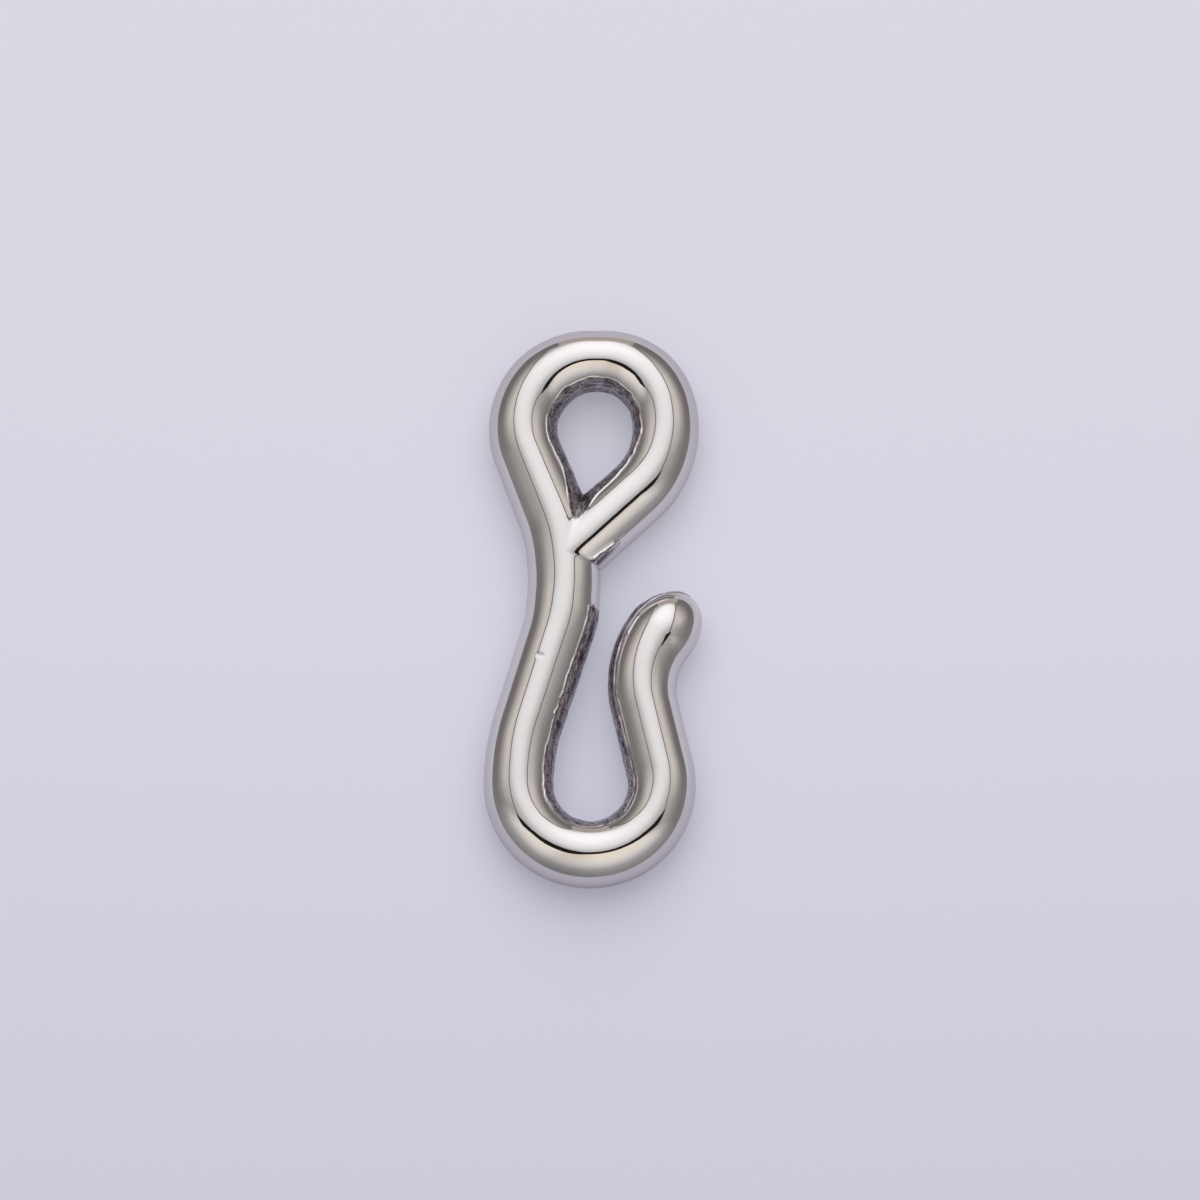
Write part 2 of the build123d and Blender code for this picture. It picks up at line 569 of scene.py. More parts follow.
def body_outer(s):
    """The body's outer surface: a plain quarter of the oval at every station."""
    angle = np.broadcast_to(LEVEL * OUTER_ROWS, (len(s), len(OUTER_ROWS)))
    u = (body.half_width(s) + RIDGE_SHIFT)[:, None] * np.sin(np.radians(angle))
    height = ROD_HALF_HEIGHT * np.cos(np.radians(angle))
    return surface(body.point(s), -body.inward(s), u, height, np.full_like(u, NO_WALL), angle)


patches = {
    "body_outer": body_outer(body_s),
    "eye_left": body_inner(body_s[body_s <= JOIN + SAME], True),
    "hook_inner": body_inner(body_s[body_s >= JOIN - SAME], False),
}
print("patches so far:", list(patches))

# %% The leg's patches
LEG_TURN_FROM, LEG_TURN_RUN = 5.6, 3.2
PATCH_ANGLE, PATCH_RISE, PATCH_FLAT = 43.0, 7.5, 0.66
PATCH_LENGTH, PATCH_DEEP = 2.3, 7.0
PATCH_WANDER, PATCH_CELL, PATCH_FROM = 2.0, 0.25, 9.0


def cast_strip(angle):
    """Degrees past the edge of the strip under the leg, or NO_WALL outside it."""
    edge = PATCH_ANGLE + PATCH_RISE * np.maximum(leg_back - PATCH_FLAT, 0.0)
    edge = edge + PATCH_WANDER * wander(leg_back + PATCH_FROM, PATCH_CELL, 11)
    past = angle - edge[:, None]
    half_length = 0.5 * PATCH_LENGTH
    deep = PATCH_DEEP * (1.0 - smooth((leg_back - half_length) / half_length))
    inside = (past < deep[:, None]) & (leg_back < PATCH_LENGTH)[:, None]
    return np.where(inside, past, NO_WALL)


def leg_side(in_eye):
    """The leg's inner surface (in the eye) or its outer surface (below it)."""
    s = LEG_END - leg_back
    start, across = from_the_leg(s, in_eye)
    half = leg.half_width(s) + RIDGE_SHIFT
    back, points = (eye_back, eye_points) if in_eye else (low_back, low_points)
    reach, rows = (eye_reach, INNER_ROWS) if in_eye else (low_reach, LEG_OUTER_ROWS)
    feet = LEG_END - back
    limit, is_foot, at_foot = blend_limits(s, start, across, in_eye, True, feet, reach, half)
    ends = end_angles(is_foot, at_foot, points, in_eye)
    to_crotch = smooth((LEG_TURN_FROM - leg_back) / LEG_TURN_RUN)
    middle = LAND_ANGLE + (LEG_ANGLE - LAND_ANGLE) * to_crotch
    edge = land_angle(-s, calm(leg_back), -crotch_on_leg, CROTCH_RUN_LEG, middle)
    wall = np.full(len(s), 1.0 if in_eye else 0.0)
    face = face_at(s, FACE_RIGHT)
    face = face + (FACE_CROTCH - face) * to_crotch
    found = lines(start, across, half, ends, rows, edge, wall, face, in_eye, limit)
    sheet = surface(start, across, *found)
    sheet[is_foot, -1, :2] = points[at_foot[is_foot]]
    sheet[0, :, :2] = points[0]
    if not in_eye:
        sheet[:, :, PAST_EDGE] = cast_strip(sheet[:, :, ANGLE])
    return sheet


patches["eye_right"] = leg_side(True)
patches["leg_outer"] = leg_side(False)
print({name: sheet.shape[:2] for name, sheet in patches.items()})

# %% [markdown]
# ## The blunt nose
#
# Past its last section the rod closes in a rounded nose. Each of its sections is the
# last one, made smaller by the cosine of an angle that rises to 90 degrees, and moved
# ahead by the sine. That is a quarter of an ellipse seen from any side. A stretched
# sphere would be simpler, but wouldn't carry the cast wall on round the tip.

# %% Close the nose
NOSE_LENGTH, NOSE_OFFSET, NOSE_STEPS = 1.98, 0.07, 24
last_heading = body.heading[-1]
nose_ahead = np.array([math.cos(last_heading), math.sin(last_heading)]) * NOSE_LENGTH
nose_ahead = nose_ahead - body.inward(body.s[-1:])[0] * NOSE_OFFSET
rod_end = crown_to_nose[-1, 1:3]


def with_nose(sheet):
    """The sheet, carried on over the nose to its tip."""
    turn = np.radians(np.linspace(0.0, LEVEL, NOSE_STEPS + 1))[1:, None, None]
    last = sheet[-1]
    flat = rod_end + nose_ahead * np.sin(turn) + (last[None, :, :2] - rod_end) * np.cos(turn)
    height = last[None, :, 2:3] * np.cos(turn)
    rest = np.broadcast_to(last[None, :, 3:], (NOSE_STEPS, *last[:, 3:].shape))
    return np.concatenate([sheet, np.concatenate([flat, height, rest], axis=2)])


for name in ("body_outer", "hook_inner"):
    patches[name] = with_nose(patches[name])
print("nose reaches", NOSE_LENGTH, "mm past the last full section")

# %% [markdown]
# ## One closed mesh
#
# The lower half is the upper one turned over, with every second row, since less of it
# shows. Points that two patches share are merged, so that the surface is closed, and
# every face is turned to look outwards. Blender's merge by distance could do it too,
# but here each point's own numbers have to follow it.

# %% Join the patches
CROWN_AT = (0.3266, 10.1009)
ROUNDING = 1e-5


def faces_of(rows, columns, first):
    """Triangles over a grid of points: two to each cell, numbered from the first."""
    index = first + np.arange(rows * columns).reshape(rows, columns)
    a, b = index[:-1, :-1].ravel(), index[1:, :-1].ravel()
    c, d = index[1:, 1:].ravel(), index[:-1, 1:].ravel()
    return np.concatenate([np.stack([a, b, c], axis=1), np.stack([a, c, d], axis=1)])


def half_of_clasp(up):
    """Points and faces of the upper half, or of the lower one where up is -1."""
    points, faces, count = [], [], 0
    for sheet in patches.values():
        sheet = sheet if up > 0 else sheet[:, ::2]
        rows, columns = sheet.shape[:2]
        middle = rows // 2
        along = sheet[middle + 1, 0, :2] - sheet[middle, 0, :2]
        across = sheet[middle, 3, :2] - sheet[middle, 0, :2]
        faces_up = along[0] * across[1] - along[1] * across[0] > 0.0
        made = faces_of(rows, columns, count)
        faces.append(made if faces_up == (up > 0) else made[:, ::-1])
        flat = sheet.reshape(-1, sheet.shape[2]) * np.array([1.0, 1.0, up, 1.0, 1.0])
        points.append(flat)
        count += len(flat)
    return np.concatenate(points), np.concatenate(faces)


upper_points, upper_faces = half_of_clasp(1.0)
lower_points, lower_faces = half_of_clasp(-1.0)
every_point = np.concatenate([upper_points, lower_points])
every_face = np.concatenate([upper_faces, lower_faces + len(upper_points)])
print("before merging:", len(every_point), "points")

# %% Merge what the patches share
keys = np.round(every_point[:, :3] / ROUNDING).astype(np.int64)
_, first, merged = np.unique(keys, axis=0, return_index=True, return_inverse=True)
points = every_point[first, :3]
past_edge, angle = every_point[first, PAST_EDGE], every_point[first, ANGLE]
faces = merged.ravel()[every_face]
a, b, c = faces.T
faces = faces[(a != b) & (b != c) & (c != a)]

edges = np.concatenate([faces[:, [0, 1]], faces[:, [1, 2]], faces[:, [2, 0]]])
_, used = np.unique(np.sort(edges, axis=1), axis=0, return_counts=True)
print(len(points), "points,", len(faces), "faces; edges not shared by two:", int((used != 2).sum()))

# %% [markdown]
# ## Casting marks
#
# The wall inside the eye and the hook is as it came from the mould: rough and layered,
# with a ragged lip along its upper edge where the polishing stopped, and a shallow
# groove beside the lip. Under the leg the mould left a small burr. The polished part
# waves a little, as every hand-held polish does, and keeps a nick and a few pits.
#
# A bump in the shader could fake the grain, but the lip and the burr stand up and catch
# the light, so real points move along their normals. How far comes from smooth noise
# at the point's own place in space, so it has no seams.

# %% Noise in space, and normals
NOISE_VALUES = 8192
HASH_X, HASH_Y, HASH_Z = 73856093, 19349663, 83492791


def space_noise(places, cell, seed):
    """Smooth random values from -1 to 1: eight corner values of a cell, blended."""
    table = np.random.RandomState(seed).uniform(-1.0, 1.0, NOISE_VALUES)
    scaled = places / cell
    base = np.floor(scaled).astype(np.int64)
    t = smooth(scaled - base)
    total = np.zeros(len(places))
    for corner in np.ndindex(2, 2, 2):
        share = np.prod(np.where(corner, t, 1.0 - t), axis=1)
        i, j, k = (base + np.array(corner)).T
        total += share * table[(i * HASH_X ^ j * HASH_Y ^ k * HASH_Z) % NOISE_VALUES]
    return total


def normals_of(places, triangles):
    """Unit normals at the points: the sum of the faces' normals, by their areas."""
    a, b, c = (places[triangles[:, k]] for k in range(3))
    face = np.cross(b - a, c - a)
    total = np.zeros_like(places)
    for k in range(3):
        for axis in range(3):
            total[:, axis] += np.bincount(triangles[:, k], face[:, axis], len(places))
    return total / np.linalg.norm(total, axis=1)[:, None]


def bell(distance, size):
    """1 at no distance, falling off as exp(-(distance / size)^2)."""
    return np.exp(-(distance / size) ** 2)


outward = normals_of(points, faces)
placed = points + np.array([CROWN_AT[0], CROWN_AT[1], 0.0])
from_meeting = np.linalg.norm(points[:, :2] - meeting_point, axis=1)
print("normals:", len(outward))

# %% Grain of the cast wall
ROUGH, LAYERS = 0.016, 2.6
GRAIN, FINE_GRAIN, FINE_GRAIN_SHARE = 0.27, 0.13, 0.6
CROTCH_GRAIN, CROTCH_GRAIN_SHARE = 0.10, 0.9
CROTCH_REACH, CROTCH_FADE = 3.0, 1.0
EDGE_FROM, EDGE_RUN = -0.6, 1.2

cast_share = smooth((past_edge - EDGE_FROM) / EDGE_RUN)
in_crotch = smooth((CROTCH_REACH - from_meeting) / CROTCH_FADE)
layered = placed * np.array([1.0, 1.0, LAYERS])
rough = space_noise(layered, GRAIN, 1)
rough = rough + FINE_GRAIN_SHARE * space_noise(layered, FINE_GRAIN, 2)
rough += CROTCH_GRAIN_SHARE * in_crotch * space_noise(placed, CROTCH_GRAIN, 9)
print("cast share of the points:", round(float(cast_share.mean()), 3))

# %% Lip, groove and wave
LIP, LIP_AT, LIP_WIDTH = 0.050, 0.5, 1.9
LIP_MEAN, LIP_COARSE, LIP_FINE = 0.85, 0.35, 0.25
LIP_HIGH, LIP_LOW, LIP_FADE = 8.0, -8.6, 1.0
LIP_FAINT, LIP_CLEAR = 0.2, 0.8
LIP_FLATTENS = 0.6
GROOVE, GROOVE_AT, GROOVE_WIDTH = 0.009, -2.2, 1.4
WAVE, WAVE_CELL, RIPPLE_CELL, RIPPLE = 0.0016, 0.9, 0.4, 0.35
BARE_REACH, BARE_FADE = 2.0, 0.6

lip_share = bell(past_edge - LIP_AT, LIP_WIDTH)
lip_height = LIP_MEAN + LIP_COARSE * space_noise(placed, 0.45, 5)
lip_height = lip_height + LIP_FINE * space_noise(placed, 0.15, 6)
off_crotch = smooth((from_meeting - BARE_REACH) / BARE_FADE)
below_crown = smooth((LIP_HIGH - placed[:, 1]) / LIP_FADE)
above_bowl = smooth((placed[:, 1] - LIP_LOW) / LIP_FADE)
present = below_crown * above_bowl
lip_height = lip_height * off_crotch * (LIP_FAINT + LIP_CLEAR * present)
wave = space_noise(placed, WAVE_CELL, 7) + RIPPLE * space_noise(placed, RIPPLE_CELL, 8)

moved = ROUGH * rough * cast_share * (1.0 - LIP_FLATTENS * lip_share)
moved += LIP * np.maximum(lip_height, 0.0) * lip_share
moved -= GROOVE * off_crotch * bell(past_edge - GROOVE_AT, GROOVE_WIDTH)
moved += WAVE * wave * (1.0 - cast_share)
print("lip at most", moved.max().round(4), "mm high")

# %% Nick, pits and burr
# Each row: x, y, z, size and depth.
MARKS = [
    (-2.14, -2.20, 1.18, 0.09, 0.020),
    (-2.00, -2.22, 1.20, 0.08, 0.018),
    (3.06, -1.50, 1.10, 0.045, 0.010),
    (3.02, -1.70, 1.12, 0.04, 0.008),
    (-3.47, -3.30, 0.56, 0.07, 0.025),
    (-3.42, -3.50, 0.62, 0.06, 0.025),
    (-3.96, -8.75, 0.72, 0.07, 0.020),
    (-3.90, -9.10, 0.74, 0.06, 0.020),
    (1.78, -5.25, 1.00, 0.05, 0.020),
]
BURR_FROM, BURR_TO = np.array([0.02, 1.79, 0.88]), np.array([0.80, 2.41, 0.78])
BURR_SIZE, BURR_HEIGHT = 0.085, 0.110

for x, y, z, size, depth in MARKS:
    moved -= depth * bell(np.linalg.norm(placed - np.array([x, y, z]), axis=1), size)
burr_line = BURR_TO - BURR_FROM
on_line = np.clip(((placed - BURR_FROM) @ burr_line) / (burr_line @ burr_line), 0.0, 1.0)
from_burr = np.linalg.norm(placed - BURR_FROM - on_line[:, None] * burr_line, axis=1)
moved += BURR_HEIGHT * bell(from_burr, BURR_SIZE)
points = points + outward * moved[:, None]
print("moved by", moved.min().round(4), "to", moved.max().round(4), "mm")

# %% How dark the cast skin is, with painted shade
LOWER_FROM, LOWER_RUN, LOWER_PAINTED_SHADE = 58.0, 26.0, 0.30
CROTCH_PAINTED_SHADE = 0.50

# Painted shade low on the wall, towards the floor, and in the crotch, added to the grain's darker
# hollows.
hollow_and_shade = np.maximum(-rough, 0.0) + LOWER_PAINTED_SHADE * smooth((angle - LOWER_FROM) / LOWER_RUN)
hollow_and_shade += CROTCH_PAINTED_SHADE * in_crotch
layers = {
    "cast": cast_share,
    "pit_and_shade": np.clip(hollow_and_shade, 0.0, 1.0) * cast_share,
    "side": np.clip(angle / LEVEL, 0.0, 1.0),
}
print("darkest and mean pit:", layers["pit_and_shade"].max().round(2), layers["pit_and_shade"].mean().round(3))

# %% [markdown]
# ## Put it into Blender
#
# The arrays become one mesh, placed by the crown's place in the CAD model. A painted
# image could tell the material where the cast wall is, but would need a flat layout. So
# three numbers go with each point: how far it is cast skin, how dark its skin is from
# pits and painted shade, and how far down the side of the rod it is.

# %% Make the object
xyz = points + np.array([CROWN_AT[0], CROWN_AT[1], ROD_HALF_HEIGHT])
mesh = bpy.data.meshes.new("clasp_surface")
mesh.from_pydata((xyz * MM).tolist(), [], faces.tolist())
mesh.polygons.foreach_set("use_smooth", np.ones(len(faces), dtype=bool))
for name, values in layers.items():
    layer = mesh.attributes.new(name, "FLOAT", "POINT")
    layer.data.foreach_set("value", values.astype(np.float32))
mesh.update()
clasp = bpy.data.objects.new("clasp", mesh)
bpy.context.collection.objects.link(clasp)
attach(clasp, "root")
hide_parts("hook_clasp")
print("box of the points in mm:", (xyz.max(axis=0) - xyz.min(axis=0)).round(3))

# %% [markdown]
# ## Polished and cast metal
#
# Nearly all that one sees of polished steel is what it mirrors, so the material is
# simple: metallic, pale and smooth. The wheel presses less on the sides of the rod, and
# the metal is a little duller there. The cast wall is rough and has a dull grey skin,
# darkest in its hollows and along fine veins, with painted shade low on the wall and in
# the crotch.
#
# Two materials could meet along the edge of the wall, but the edge would be as jagged
# as the triangles. One material that reads the points' numbers can fade. Its graph could
# be wired by hand; wired from code, each helper makes one node and gives its output.

# %% Node helpers
def new_material(name):
    """An empty node material, with its node tree and its output."""
    material = bpy.data.materials.new(name)
    material.use_nodes = True
    tree = material.node_tree
    tree.nodes.clear()
    return material, tree, tree.nodes.new("ShaderNodeOutputMaterial").inputs["Surface"]


def feed(tree, socket, value):
    """Gives a socket a number, a colour or the output of another node."""
    if isinstance(value, (int, float)):
        socket.default_value = value
    elif isinstance(value, tuple):
        socket.default_value = (*value, 1.0)
    else:
        tree.links.new(value, socket)


def math_node(tree, operation, *values):
    """One sum, product or other operation on numbers."""
    node = tree.nodes.new("ShaderNodeMath")
    node.operation = operation
    for socket, value in zip(node.inputs, values):
        feed(tree, socket, value)
    return node.outputs[0]


def ramp_node(tree, factor, stops):
    """A colour ramp through stops of (position, colour); one number is a grey."""
    node = tree.nodes.new("ShaderNodeValToRGB")
    elements = node.color_ramp.elements
    while len(elements) < len(stops):
        elements.new(0.5)
    for element, (position, colour) in zip(elements, stops):
        element.position = position
        element.color = (*colour, 1.0) if isinstance(colour, tuple) else (*[colour] * 3, 1.0)
    feed(tree, node.inputs["Fac"], factor)
    return node.outputs["Color"]


def ranged(tree, value, low, high, to_low=0.0, to_high=1.0):
    """A value between low and high, carried over to another range and kept in it."""
    node = tree.nodes.new("ShaderNodeMapRange")
    names = ("Value", "From Min", "From Max", "To Min", "To Max")
    for name, number in zip(names, (value, low, high, to_low, to_high)):
        feed(tree, node.inputs[name], number)
    return node.outputs[0]


def mixed_colour(tree, factor, a, b, how="MIX"):
    """Colour a, turning to b (or to a times b) as the factor goes from 0 to 1."""
    node = tree.nodes.new("ShaderNodeMix")
    node.data_type = "RGBA"
    node.blend_type = how
    for index, value in ((0, factor), (6, a), (7, b)):
        feed(tree, node.inputs[index], value)
    return node.outputs[2]


def shine(tree, colour, strength):
    """A shader that gives off light of one colour."""
    node = tree.nodes.new("ShaderNodeEmission")
    feed(tree, node.inputs["Color"], colour)
    feed(tree, node.inputs["Strength"], strength)
    return node.outputs[0]


def axes(tree, output_name):
    """The X, Y and Z of a texture coordinate."""
    split = tree.nodes.new("ShaderNodeSeparateXYZ")
    feed(tree, split.inputs[0], tree.nodes.new("ShaderNodeTexCoord").outputs[output_name])
    return split.outputs["X"], split.outputs["Y"], split.outputs["Z"]


# %% The metal's tones
BRIGHT, DULL = (0.81, 0.780, 0.778), (0.64, 0.595, 0.632)
SKIN, SKIN_DARK = (0.62, 0.575, 0.62), (0.17, 0.14, 0.16)
DULL_FROM, DULL_TO = 0.55, 0.95
GLOSS, DULLER = 0.055, 0.07
SKIN_SMOOTHEST, SKIN_ROUGHEST = 0.22, 0.42
PIT_AND_SHADE_FROM, PIT_AND_SHADE_TO = 0.1, 0.8
VEINS_PER_M, VEIN_LAYERS, VEIN_FROM, VEIN_TO, VEIN_DARK = 2600.0, 2.6, 0.01, 0.055, 0.9
MIDDLE = 0.5

steel, tree, end = new_material("polished_steel")


def read_layer(name):
    """The value of one of the mesh's own layers."""
    node = tree.nodes.new("ShaderNodeAttribute")
    node.attribute_name = name
    return node.outputs["Fac"]


def fine_noise(scale, detail, flatter=1.0):
    """Noise in the object's own space, with cells of 1/scale metres, and flatter ones."""
    node = tree.nodes.new("ShaderNodeTexNoise")
    node.inputs["Scale"].default_value = scale
    node.inputs["Detail"].default_value = detail
    mapping = tree.nodes.new("ShaderNodeMapping")
    mapping.inputs["Scale"].default_value = (1.0, 1.0, flatter)
    place = tree.nodes.new("ShaderNodeTexCoord").outputs["Object"]
    feed(tree, mapping.inputs["Vector"], place)
    feed(tree, node.inputs["Vector"], mapping.outputs[0])
    return node.outputs["Fac"]


cast_layer, pit_and_shade_layer, side_layer = (read_layer(name) for name in layers)
dull = ranged(tree, side_layer, DULL_FROM, DULL_TO)
grain = math_node(tree, "SUBTRACT", fine_noise(VEINS_PER_M, 2.0, VEIN_LAYERS), MIDDLE)
vein = ranged(tree, math_node(tree, "ABSOLUTE", grain), VEIN_FROM, VEIN_TO, VEIN_DARK, 0.0)
# Darkness from pits and veins, and painted shade low on the wall and in the crotch.
darkness = math_node(tree, "MAXIMUM", ranged(tree, pit_and_shade_layer, PIT_AND_SHADE_FROM, PIT_AND_SHADE_TO), vein)
skin = mixed_colour(tree, darkness, SKIN, SKIN_DARK)
colour = mixed_colour(tree, cast_layer, mixed_colour(tree, dull, BRIGHT, DULL), skin)

# %% The metal's gloss and grain
BUMP_DEPTH, BUMP_ON_POLISH = 0.00001, 0.02

gloss = math_node(tree, "ADD", GLOSS, math_node(tree, "MULTIPLY", dull, DULLER))
rough_skin = ranged(tree, fine_noise(9000.0, 2.0), 0.35, 0.65, SKIN_SMOOTHEST, SKIN_ROUGHEST)
roughness = tree.nodes.new("ShaderNodeMix")
for index, value in ((0, cast_layer), (2, gloss), (3, rough_skin)):
    feed(tree, roughness.inputs[index], value)

bump = tree.nodes.new("ShaderNodeBump")
bump.inputs["Distance"].default_value = BUMP_DEPTH
feed(tree, bump.inputs["Height"], fine_noise(14000.0, 3.0))
feed(tree, bump.inputs["Strength"], ranged(tree, cast_layer, 0.0, 1.0, BUMP_ON_POLISH, 1.0))

shader = tree.nodes.new("ShaderNodeBsdfPrincipled")
shader.inputs["Metallic"].default_value = 1.0
feed(tree, shader.inputs["Base Color"], colour)
feed(tree, shader.inputs["Roughness"], roughness.outputs[0])
feed(tree, shader.inputs["Normal"], bump.outputs[0])
feed(tree, end, shader.outputs[0])
mesh.materials.append(steel)
print("nodes in all:", len(tree.nodes))

# %% [markdown]
# ## The camera
#
# Small hardware is shown lying flat and seen from above, with the camera leaning a
# little towards the near end. A wide lens close by would make near parts look larger.
# A long lens from 400 mm away keeps the clasp in proportion.

# %% Camera
AIM = Vector((0.275, 0.323, 1.225)) * MM
TILT = math.radians(14.0)
CAMERA_AWAY = 400.0 * MM
FRAME_WIDTH = 47.33 * MM
camera_data = bpy.data.cameras.new("camera")
camera_data.lens = camera_data.sensor_width * CAMERA_AWAY / FRAME_WIDTH
camera_data.clip_start = 0.01
camera_data.clip_end = 20.0
camera = bpy.data.objects.new("camera", camera_data)
back = Vector((0.0, -math.sin(TILT), math.cos(TILT)))
camera.location = AIM + back * CAMERA_AWAY
camera.rotation_mode = "QUATERNION"
camera.rotation_quaternion = (-back).to_track_quat("-Z", "Y")
bpy.context.collection.objects.link(camera)
bpy.context.scene.camera = camera
bpy.context.scene.view_settings.view_transform = "Standard"
print("lens in mm:", round(camera_data.lens, 1))

# %% [markdown]
# ## The panel overhead
#
# The broad white band along the top of the rod is a soft panel that hangs over the
# table. It is brightest near its middle, and falls off half as fast towards the far
# end as towards the near one. A black cloth runs along its near edge, with a dark
# camera below it, and grey edges close its sides.
#
# An even area lamp could hang there, but polished metal shows the lamp itself. So the
# panel is a card with its own pattern of light. Its corners are given in its plane, in
# multiples of that plane's distance.

# %% Cards
def flat_card(name, corners, material):
    """A flat piece with four corners, given in turn."""
    data = bpy.data.meshes.new(name)
    data.from_pydata([tuple(corner) for corner in corners], [], [(0, 1, 2, 3)])
    data.materials.append(material)
    card = bpy.data.objects.new(name, data)
    bpy.context.collection.objects.link(card)


def plain_card(name, colour):
    """A material that shines evenly in one colour."""
    material, tree, end = new_material(name)
    feed(tree, end, shine(tree, colour, 1.0))
    return material


black_cloth = plain_card("black_cloth", (0.012, 0.010, 0.009))
grey_edge = plain_card("grey_edge", (0.155, 0.140, 0.130))

# %% The panel's light
WIDE, FAR_SIDE, HOT_Y = 1.25, 0.5, 0.95
PANEL_STRENGTH = 1.22

panel_light, tree, end = new_material("panel_light")
x, y, z = axes(tree, "Object")
sideways = math_node(tree, "MULTIPLY", math_node(tree, "DIVIDE", x, z), WIDE)
beyond = math_node(tree, "SUBTRACT", math_node(tree, "DIVIDE", y, z), HOT_Y)
farther = math_node(tree, "MULTIPLY", beyond, FAR_SIDE)
nearer = math_node(tree, "MULTIPLY", beyond, -1.0)
along = math_node(tree, "MAXIMUM", farther, nearer)
sideways_squared = math_node(tree, "POWER", sideways, 2.0)
squares = math_node(tree, "ADD", sideways_squared, math_node(tree, "POWER", along, 2.0))
glow = ramp_node(tree, math_node(tree, "SQRT", squares), [
    (0.0, 1.00), (0.25, 0.98), (0.42, 0.92), (0.60, 0.82),
    (0.74, 0.74), (0.82, 0.64), (0.88, 0.54), (1.0, 0.42),
])
feed(tree, end, shine(tree, glow, PANEL_STRENGTH))
print("nodes of the panel:", len(tree.nodes))

# %% Hang the panel and its rims
PANEL_AWAY = 0.43
PANEL_TILT = math.radians(10.0)
panel_up = Vector((0.0, math.sin(PANEL_TILT), math.cos(PANEL_TILT))) * PANEL_AWAY
panel_x = Vector((1.0, 0.0, 0.0)) * PANEL_AWAY
panel_y = Vector((0.0, math.cos(PANEL_TILT), -math.sin(PANEL_TILT))) * PANEL_AWAY

for name, material, *corners in (
    ("panel", panel_light, (-0.45, -0.210), (0.46, -0.180), (0.46, 1.73), (-0.72, 1.73)),
    ("rim_near", black_cloth, (-0.565, -0.335), (0.575, -0.322), (0.575, -0.178), (-0.565, -0.210)),
    ("dark_camera", black_cloth, (-0.40, -0.330), (-0.30, -0.400), (-0.10, -0.405), (-0.02, -0.325)),
    ("rim_left", grey_edge, (-0.505, -0.210), (-0.45, -0.210), (-0.72, 1.73), (-0.775, 1.73)),
    ("rim_right", grey_edge, (0.46, -0.180), (0.515, -0.180), (0.515, 1.73), (0.46, 1.73)),
):
    flat_card(name, [panel_up + panel_x * x + panel_y * y for x, y in corners], material)
print("the panel hangs", round(panel_up.length, 2), "m away")

# %% [markdown]
# ## The room
#
# The sides of the rod mirror the room: warm and bright in front, grey at the sides and
# brown behind. Cards could stand all round, but the world's background does it with one
# graph: a ramp over the angle from straight up for each of three directions.

# %% Three ramps of light
world = bpy.data.worlds.new("studio")
world.use_nodes = True
tree = world.node_tree
tree.nodes.clear()
x, y, z = axes(tree, "Generated")


def room_ramp(stops):
    """Light by the angle from straight up: (degrees, (r, g, b)) stops."""
    upward = math_node(tree, "MULTIPLY", math_node(tree, "ARCCOSINE", z), 1.0 / math.pi)
    return ramp_node(tree, upward, [(degrees / 180.0, colour) for degrees, colour in stops])


front = room_ramp([
    (0, (0.97, 0.86, 0.72)), (18, (0.95, 0.86, 0.74)), (24, (0.91, 0.85, 0.76)),
    (32, (0.88, 0.84, 0.77)), (40, (0.79, 0.76, 0.72)), (48, (0.66, 0.64, 0.62)),
    (56, (0.49, 0.48, 0.47)), (64, (0.36, 0.36, 0.36)), (72, (0.31, 0.32, 0.33)),
    (80, (0.27, 0.27, 0.27)), (90, (0.25, 0.25, 0.25)),
])
sides = room_ramp([
    (0, (0.45, 0.43, 0.42)), (36, (0.43, 0.41, 0.40)), (44, (0.38, 0.37, 0.36)),
    (52, (0.31, 0.30, 0.29)), (60, (0.26, 0.26, 0.25)), (68, (0.22, 0.22, 0.21)),
    (78, (0.21, 0.21, 0.21)), (90, (0.23, 0.23, 0.23)),
])
behind = room_ramp([
    (0, (0.67, 0.63, 0.60)), (36, (0.67, 0.63, 0.60)), (46, (0.70, 0.65, 0.61)),
    (52, (0.56, 0.52, 0.49)), (58, (0.44, 0.41, 0.38)), (64, (0.32, 0.30, 0.28)),
    (70, (0.21, 0.20, 0.19)), (78, (0.18, 0.17, 0.17)), (90, (0.19, 0.18, 0.19)),
])

# %% Turn round the room
ONE_AND_A_BIT = 1.0001
SKEW = 0.11
FRONT_FROM, FRONT_TO = -0.13, -0.37
BACK_FROM, BACK_TO = 0.05, 0.45

z_squared = math_node(tree, "POWER", z, 2.0)
level = math_node(tree, "SQRT", math_node(tree, "SUBTRACT", ONE_AND_A_BIT, z_squared))
turn = math_node(tree, "DIVIDE", y, level)
right = math_node(tree, "DIVIDE", x, level)
skewed = math_node(tree, "ADD", turn, math_node(tree, "MULTIPLY", right, SKEW))
to_front = ranged(tree, skewed, FRONT_FROM, FRONT_TO)
to_back = ranged(tree, turn, BACK_FROM, BACK_TO)
left_to_right = math_node(tree, "MULTIPLY", math_node(tree, "ADD", right, 1.0), 0.5)
shade = ramp_node(tree, left_to_right, [
    (0.15, 1.0), (0.24, 0.80), (0.38, 0.82), (0.50, 0.93), (0.60, 1.0),
])
front = mixed_colour(tree, 1.0, front, shade, "MULTIPLY")
room = mixed_colour(tree, to_back, mixed_colour(tree, to_front, sides, front), behind)
background = tree.nodes.new("ShaderNodeBackground")
feed(tree, background.inputs["Color"], room)
world_output = tree.nodes.new("ShaderNodeOutputWorld")
feed(tree, world_output.inputs["Surface"], background.outputs[0])
bpy.context.scene.world = world
print("nodes of the room:", len(tree.nodes))

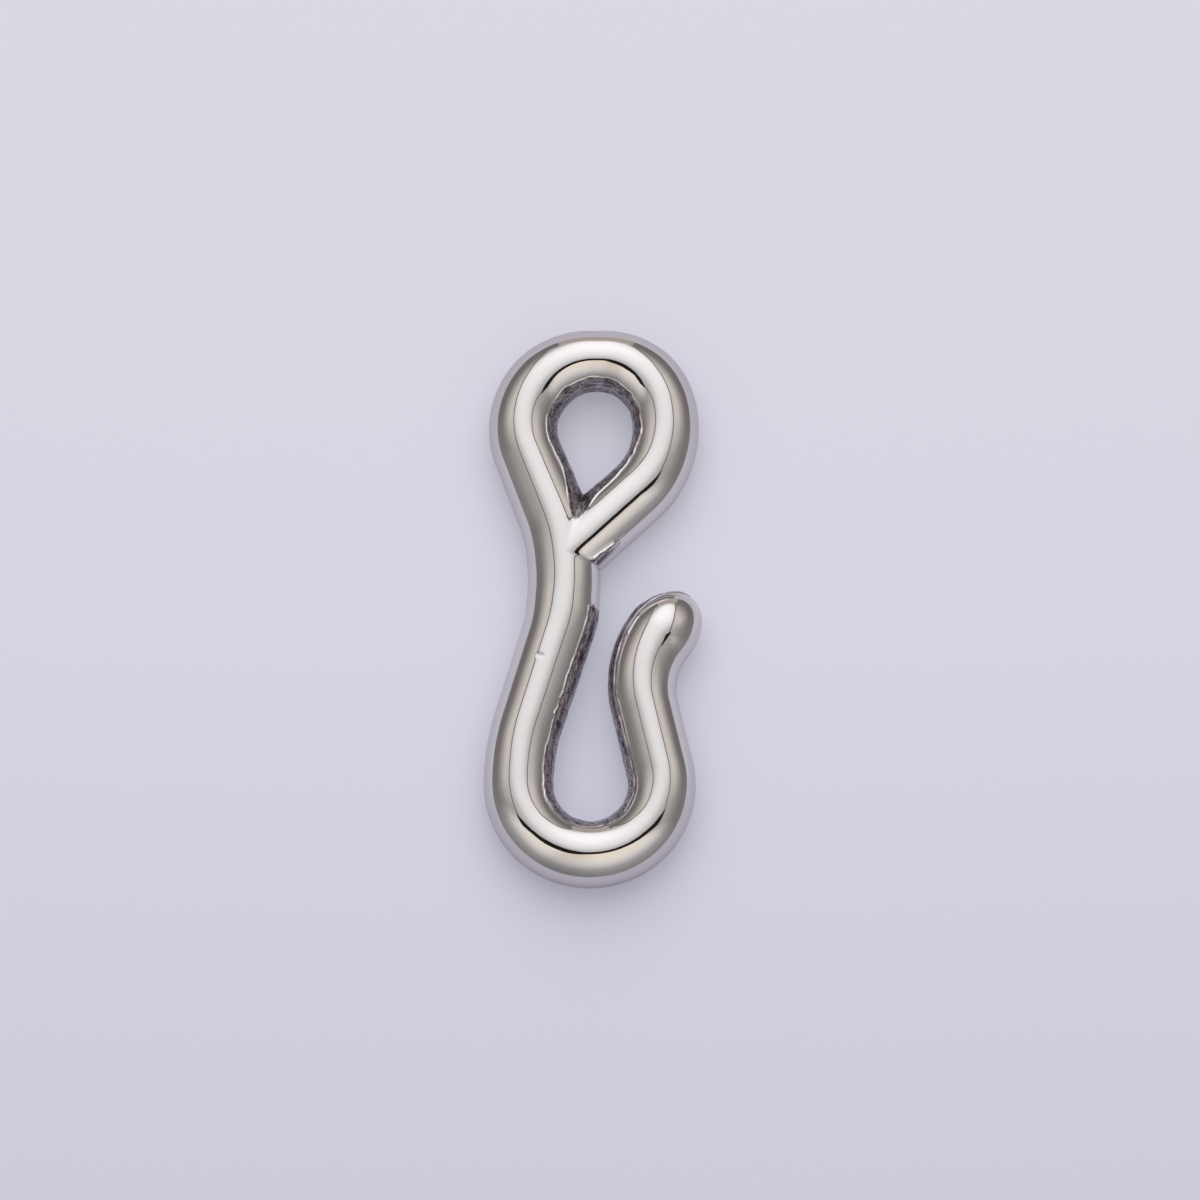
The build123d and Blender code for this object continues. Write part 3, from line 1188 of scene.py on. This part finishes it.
# %% The card behind
BACK_AWAY = 1.5
BACK_WIDE, BACK_HIGH = 0.29 * BACK_AWAY, 0.42 * BACK_AWAY
back_card = plain_card("back_card", (0.45, 0.40, 0.36))
flat_card("back_card", [
    (-BACK_WIDE, BACK_AWAY, 0.0), (BACK_WIDE, BACK_AWAY, 0.0),
    (BACK_WIDE, BACK_AWAY, BACK_HIGH), (-BACK_WIDE, BACK_AWAY, BACK_HIGH),
], back_card)
print("card behind:", round(2.0 * BACK_WIDE, 2), "m wide")

# %% [markdown]
# ## The far lamp
#
# The clasp throws a soft shadow towards its near end, so more light comes from the far
# side. A sun lamp could give it, but the panel would block it. So a wide round lamp
# hangs below the panel. The metal doesn't mirror it: that would add a second white band.

# %% A soft round lamp
FAR_LEAN = math.radians(30.0)
FAR_AWAY = 0.25
far_light = bpy.data.lights.new("far_light", "AREA")
far_light.shape = "DISK"
far_light.size = 0.42
far_light.energy = 0.48
lamp = bpy.data.objects.new("far_light", far_light)
to_lamp = Vector((0.0, math.sin(FAR_LEAN), math.cos(FAR_LEAN)))
lamp.location = to_lamp * FAR_AWAY
lamp.rotation_mode = "QUATERNION"
lamp.rotation_quaternion = (-to_lamp).to_track_quat("-Z", "Y")
lamp.visible_glossy = False
lamp.visible_camera = False
bpy.context.collection.objects.link(lamp)
print("the lamp gives", round(far_light.energy, 2), "W")

# %% [markdown]
# ## The floor
#
# The clasp lies on smooth lavender card. The card could be plain paint, but its tone
# would then hang on the lights that the metal mirrors. So part of the colour is a glow,
# which the camera sees in full and the metal more weakly, and the painted part takes the
# clasp's shadow. The glow is painted light, a little lighter towards the far end.

# %% Floor
FLOOR_HALF = 3.0
FLOOR_PAINT = (0.45, 0.44, 0.50)
SHOWN_NEAR, SHOWN_LONG = 0.0232, 0.0466

floor_paint_and_glow, tree, end = new_material("floor_paint_and_glow")
paint = tree.nodes.new("ShaderNodeBsdfDiffuse")
feed(tree, paint.inputs["Color"], FLOOR_PAINT)
from_edge = math_node(tree, "ADD", axes(tree, "Object")[1], SHOWN_NEAR)
from_near = math_node(tree, "MULTIPLY", from_edge, 1.0 / SHOWN_LONG)
# Painted light: the glow grows lighter from the near end of the frame to the far end.
glow_with_painted_light = ramp_node(tree, from_near, [
    (0.0, (0.189, 0.188, 0.254)), (0.5, (0.238, 0.243, 0.290)), (1.0, (0.248, 0.256, 0.274)),
])
# How much of the glow the metal mirrors, by place: painted light in its reflection, strongest
# mid-frame.
mirrored = ramp_node(tree, from_near, [(0.30, 0.47), (0.50, 0.70), (0.74, 0.36)])
rays = tree.nodes.new("ShaderNodeLightPath").outputs
in_metal = math_node(tree, "MULTIPLY", rays["Is Glossy Ray"], mirrored)
seen = math_node(tree, "MAXIMUM", rays["Is Camera Ray"], in_metal)
seen = math_node(tree, "MAXIMUM", seen, rays["Is Transmission Ray"])
both = tree.nodes.new("ShaderNodeAddShader")
feed(tree, both.inputs[0], paint.outputs[0])
feed(tree, both.inputs[1], shine(tree, glow_with_painted_light, seen))
feed(tree, end, both.outputs[0])
turns = ((-1, -1), (1, -1), (1, 1), (-1, 1))
flat_card("floor", [(x * FLOOR_HALF, y * FLOOR_HALF, 0.0) for x, y in turns], floor_paint_and_glow)
print("nodes of the floor:", len(tree.nodes))
